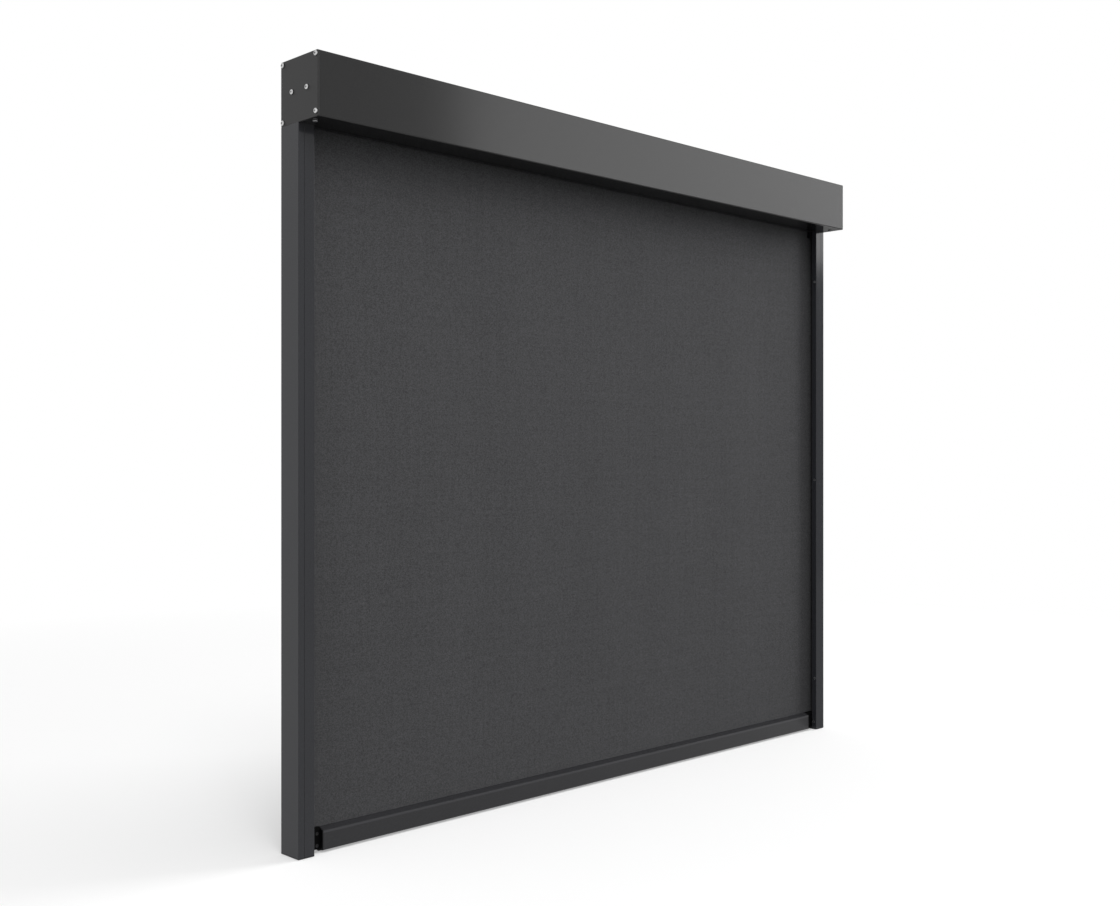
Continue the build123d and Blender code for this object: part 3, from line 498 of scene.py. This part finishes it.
# The cloth's way from the slot up to the roll, which it touches at LEAD_RADIUS.
LEAD_RADIUS = 0.03155
slot_y, slot_z = FABRIC_Y - ROLL_Y, TOP_Z - ROLL_Z
bend = math.atan2(slot_z, slot_y) + math.acos(LEAD_RADIUS / math.hypot(slot_y, slot_z))
lead_top = (ROLL_Y + LEAD_RADIUS * math.cos(bend), ROLL_Z + LEAD_RADIUS * math.sin(bend))
lead = list(zip(evenly(lead_top[0], FABRIC_Y, 6), evenly(lead_top[1], TOP_Z, 6)))
lead_across = Vector((0, lead_top[1] - TOP_Z, FABRIC_Y - lead_top[0])).normalized() * CLOTH_HALF
lead_rows = [[Vector((x, y, z)) for x in evenly(-FABRIC_HALF, FABRIC_HALF, 40)] for y, z in lead]
lead_sheet = piece("lead_in_sheet", *slab(lead_rows, lead_across), screen_cloth, "root")
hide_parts("fabric_lead_in")
lead_teeth = chain("zip_lead_teeth", [lead[0], lead[-1]], [-1, 1], "root")
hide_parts("zip_lead_ins")


def around_roll(x, radius, angle):
    return (x, ROLL_Y + radius * math.cos(angle), ROLL_Z + radius * math.sin(angle))


def wound_cloth():
    """Turns of cloth on the tube, as one wound sheet."""
    steps, turns = 64, 1.75
    inner, outer, thickness = 0.0300, 0.0310, 0.0004
    low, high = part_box("wound_fabric")
    total = int(turns * steps)
    verts, faces = [], []
    for k in range(total + 1):
        radius = inner + (outer - thickness - inner) * k / total
        for r in (radius, radius + thickness):
            for x in (low[0], high[0]):
                verts.append(around_roll(x, r, 2 * math.pi * k / steps))
    for k in range(total):
        a, b = 4 * k, 4 * k + 4
        for p, q in ((0, 1), (1, 3), (3, 2), (2, 0)):
            faces.append((a + p, a + q, b + q, b + p))
    faces += [(0, 2, 3, 1), tuple(4 * total + j for j in (0, 1, 3, 2))]
    return piece("wound_cloth", verts, faces, cloth("roll_cloth"), "roller")


roll = wound_cloth()
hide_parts("wound_fabric")


def zip_rings():
    """The wound zips beside the cloth: a tape ring with teeth standing on it, at each end."""
    inner, outer, tooth = 0.02617, 0.02964, 0.0011
    near, far = 0.681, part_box("wound_zips")[1][0]
    count = 96
    verts, faces = [], []
    for side in (-1, 1):
        for k in range(count):
            tall = outer if k % 2 else outer - tooth
            a, b = 2 * math.pi * k / count, 2 * math.pi * (k + 1) / count
            add_brick(verts, faces, [
                around_roll(x, r, angle)
                for x in (side * near, side * far)
                for r, angle in ((inner, a), (tall, a), (tall, b), (inner, b))
            ])
    return piece("wound_zip_teeth", verts, faces, zip_cloth, "roller")


rings = zip_rings()
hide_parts("wound_zips")


# Stage, light and camera
def floor():
    """A white floor that fades into the backdrop. Diffuse rays meet a darker one, which lights little."""
    n = Nodes("floor_plain")
    cloud = n.noise(0.6, 2, 0.5)
    colour = n.scaled((0.58, 0.58, 0.58), 0.985, 1.0, n.spread(cloud, 0, 1))
    n.done(colour, 0.9, specular=0.1)
    lift = n.add("ShaderNodeEmission")
    lift.inputs["Strength"].default_value = 0.34
    lit = n.add("ShaderNodeAddShader")
    n.link(n.shader.outputs[0], lit.inputs[0])
    n.link(lift.outputs[0], lit.inputs[1])
    # Seen directly, the floor fades into the white backdrop between these two distances from the blind.
    fade_start, fade_end = 0.9, 3.2
    length = n.add("ShaderNodeVectorMath", operation="LENGTH")
    n.link(n.coords, length.inputs[0])
    far = n.spread(length.outputs["Value"], 0.0, 1.0, fade_start, fade_end)
    seen = n.add("ShaderNodeMixShader")
    n.link(far, seen.inputs["Fac"])
    n.link(lit.outputs[0], seen.inputs[1])
    n.link(n.add("ShaderNodeEmission").outputs[0], seen.inputs[2])
    dim = n.add("ShaderNodeBsdfDiffuse")
    dim.inputs["Color"].default_value = (0.13, 0.13, 0.13, 1)
    choose = n.add("ShaderNodeMixShader")
    n.link(seen_or_mirrored(n.tree), choose.inputs["Fac"])
    n.link(dim.outputs[0], choose.inputs[1])
    n.link(seen.outputs[0], choose.inputs[2])
    n.surface(choose)
    count, radius = 96, 40.0
    verts = [(0, 0, 0)] + [
        (radius * math.cos(2 * math.pi * k / count), radius * math.sin(2 * math.pi * k / count), 0)
        for k in range(count)
    ]
    faces = [(0, 1 + k, 1 + (k + 1) % count) for k in range(count)]
    obj = add_mesh("floor", verts, faces, n.mat)
    obj.location = (0, 0, FOOT_Z - 0.001)


floor()

# The world is white where it is seen or mirrored, and lights the blind at half that.
world = bpy.data.worlds.new("studio")
world.use_nodes = True
tree = world.node_tree
background = tree.nodes["Background"]
background.inputs["Color"].default_value = (1, 1, 1, 1)
strength = tree.nodes.new("ShaderNodeMapRange")
strength.inputs["To Min"].default_value = 0.5
strength.inputs["To Max"].default_value = 1.0
tree.links.new(seen_or_mirrored(tree), strength.inputs["Value"])
tree.links.new(strength.outputs[0], background.inputs["Strength"])
bpy.context.scene.world = world


def lamp(name, place, target, width, height, watts, seen_in_gloss=False, spread=180):
    data = bpy.data.lights.new(name, "AREA")
    data.shape = "RECTANGLE"
    data.size, data.size_y = width, height
    data.energy = watts
    data.spread = math.radians(spread)
    obj = bpy.data.objects.new(name, data)
    obj.location = place
    obj.rotation_euler = (target - place).to_track_quat("-Z", "Y").to_euler()
    obj.visible_camera = False
    obj.visible_glossy = seen_in_gloss
    bpy.context.scene.collection.objects.link(obj)


def aimed(name, azimuth, elevation, distance, width, height, watts):
    """A soft lamp round the blind's middle. Its azimuth counts from the front, towards the right."""
    a, e = math.radians(azimuth), math.radians(elevation)
    middle = Vector((0, 0, -0.6))
    way = Vector((math.cos(e) * math.sin(a), -math.cos(e) * math.cos(a), math.sin(e)))
    lamp(name, middle + way * distance, middle, width, height, watts)


# A long overhead key, a light on the left side and a low wide one far out on the right.
aimed("key", -36.6, 59.6, 5.5, 1.5, 5.0, 153)
aimed("side", -84, 4, 5.0, 2.4, 1.6, 66)
aimed("low", 75, 12, 9.0, 4.6, 4.2, 1080)

# The satin paint mirrors a wide panel to the front right. The headbox shows its left edge at EDGE_MIRRORED.
EDGE_MIRRORED = Vector((-0.45, -0.10, 0))
PANEL_AZIMUTH = math.radians(40.5)
PANEL_AWAY = 4.0
PANEL_GLOW = 0.80
PANEL_WIDTH, PANEL_HEIGHT, PANEL_FOOT = 3.6, 1.71, 0.39
panel_left = EDGE_MIRRORED + PANEL_AWAY * Vector((math.sin(PANEL_AZIMUTH), -math.cos(PANEL_AZIMUTH), 0))
panel_across = Vector((0.80, 0.60, 0))
panel_facing = Vector((-0.60, 0.80, 0))
panel_middle = panel_left + panel_across * PANEL_WIDTH / 2
panel_middle.z = PANEL_FOOT + PANEL_HEIGHT / 2
lamp("panel", panel_middle, panel_middle + panel_facing, PANEL_WIDTH, PANEL_HEIGHT,
     PANEL_GLOW * math.pi * PANEL_WIDTH * PANEL_HEIGHT, seen_in_gloss=True, spread=95)


def card(name, corners, tone):
    """A grey card that only reflections show. Its corners go round it."""
    n = Nodes(name)
    cloud = n.noise(0.5, 2, 0.5)
    glow = n.add("ShaderNodeEmission")
    n.link(n.scaled((tone, tone, tone), 0.92, 1.05, n.spread(cloud, 0, 1)), glow.inputs["Color"])
    n.surface(glow)
    obj = add_mesh(name, corners, [(0, 1, 2, 3)], n.mat)
    obj.visible_camera = obj.visible_diffuse = obj.visible_transmission = obj.visible_shadow = False


def upright(start, end, top):
    """The corners of a card that stands on the floor."""
    return [(start.x, start.y, FOOT_Z), (end.x, end.y, FOOT_Z), (end.x, end.y, top), (start.x, start.y, top)]


# The room's darker parts: under the panel, and behind the blind on the right.
SKIRTING_LENGTH, SKIRTING_BACK = 5.0, 0.05
skirting_start = panel_left - panel_facing * SKIRTING_BACK
skirting_end = skirting_start + panel_across * SKIRTING_LENGTH
card("skirting", upright(skirting_start, skirting_end, PANEL_FOOT - 0.02), 0.38)
card("rear_card", upright(Vector((3.1, 3.5, 0)), Vector((4.9, 0.9, 0)), 0.7), 0.25)

# The front of the right guide mirrors the floor between its foot and the skirting. This darkens it there.
RUNNER_LENGTH, RUNNER_NEAR_HALF, RUNNER_FAR_HALF = 3.5, 0.03, 0.6
runner_start = Vector((0.70, -0.05, FOOT_Z - 0.0005))
runner_way, runner_side = Vector((0.828, -0.561, 0)), Vector((0.561, 0.828, 0))
runner_end = runner_start + runner_way * RUNNER_LENGTH
card("runner", [
    runner_start - runner_side * RUNNER_NEAR_HALF, runner_end - runner_side * RUNNER_FAR_HALF,
    runner_end + runner_side * RUNNER_FAR_HALF, runner_start + runner_side * RUNNER_NEAR_HALF,
], 0.52)

# The camera as fitted to the photo, in its pixels.
PHOTO_WIDTH, FOCAL_LENGTH, SHIFT = 1120, 1310.3, 4.76
camera_data = bpy.data.cameras.new("camera")
camera_data.sensor_fit = "HORIZONTAL"
camera_data.sensor_width = 36.0
camera_data.lens = FOCAL_LENGTH / PHOTO_WIDTH * camera_data.sensor_width
camera_data.shift_y = SHIFT / PHOTO_WIDTH
camera_data.clip_end = 200
camera = bpy.data.objects.new("camera", camera_data)
camera.location = (-1.8169, -1.7502, -0.5618)
camera.rotation_euler = (math.radians(90), 0, -0.7778)
bpy.context.scene.collection.objects.link(camera)
bpy.context.scene.camera = camera
bpy.context.scene.view_settings.view_transform = "Standard"
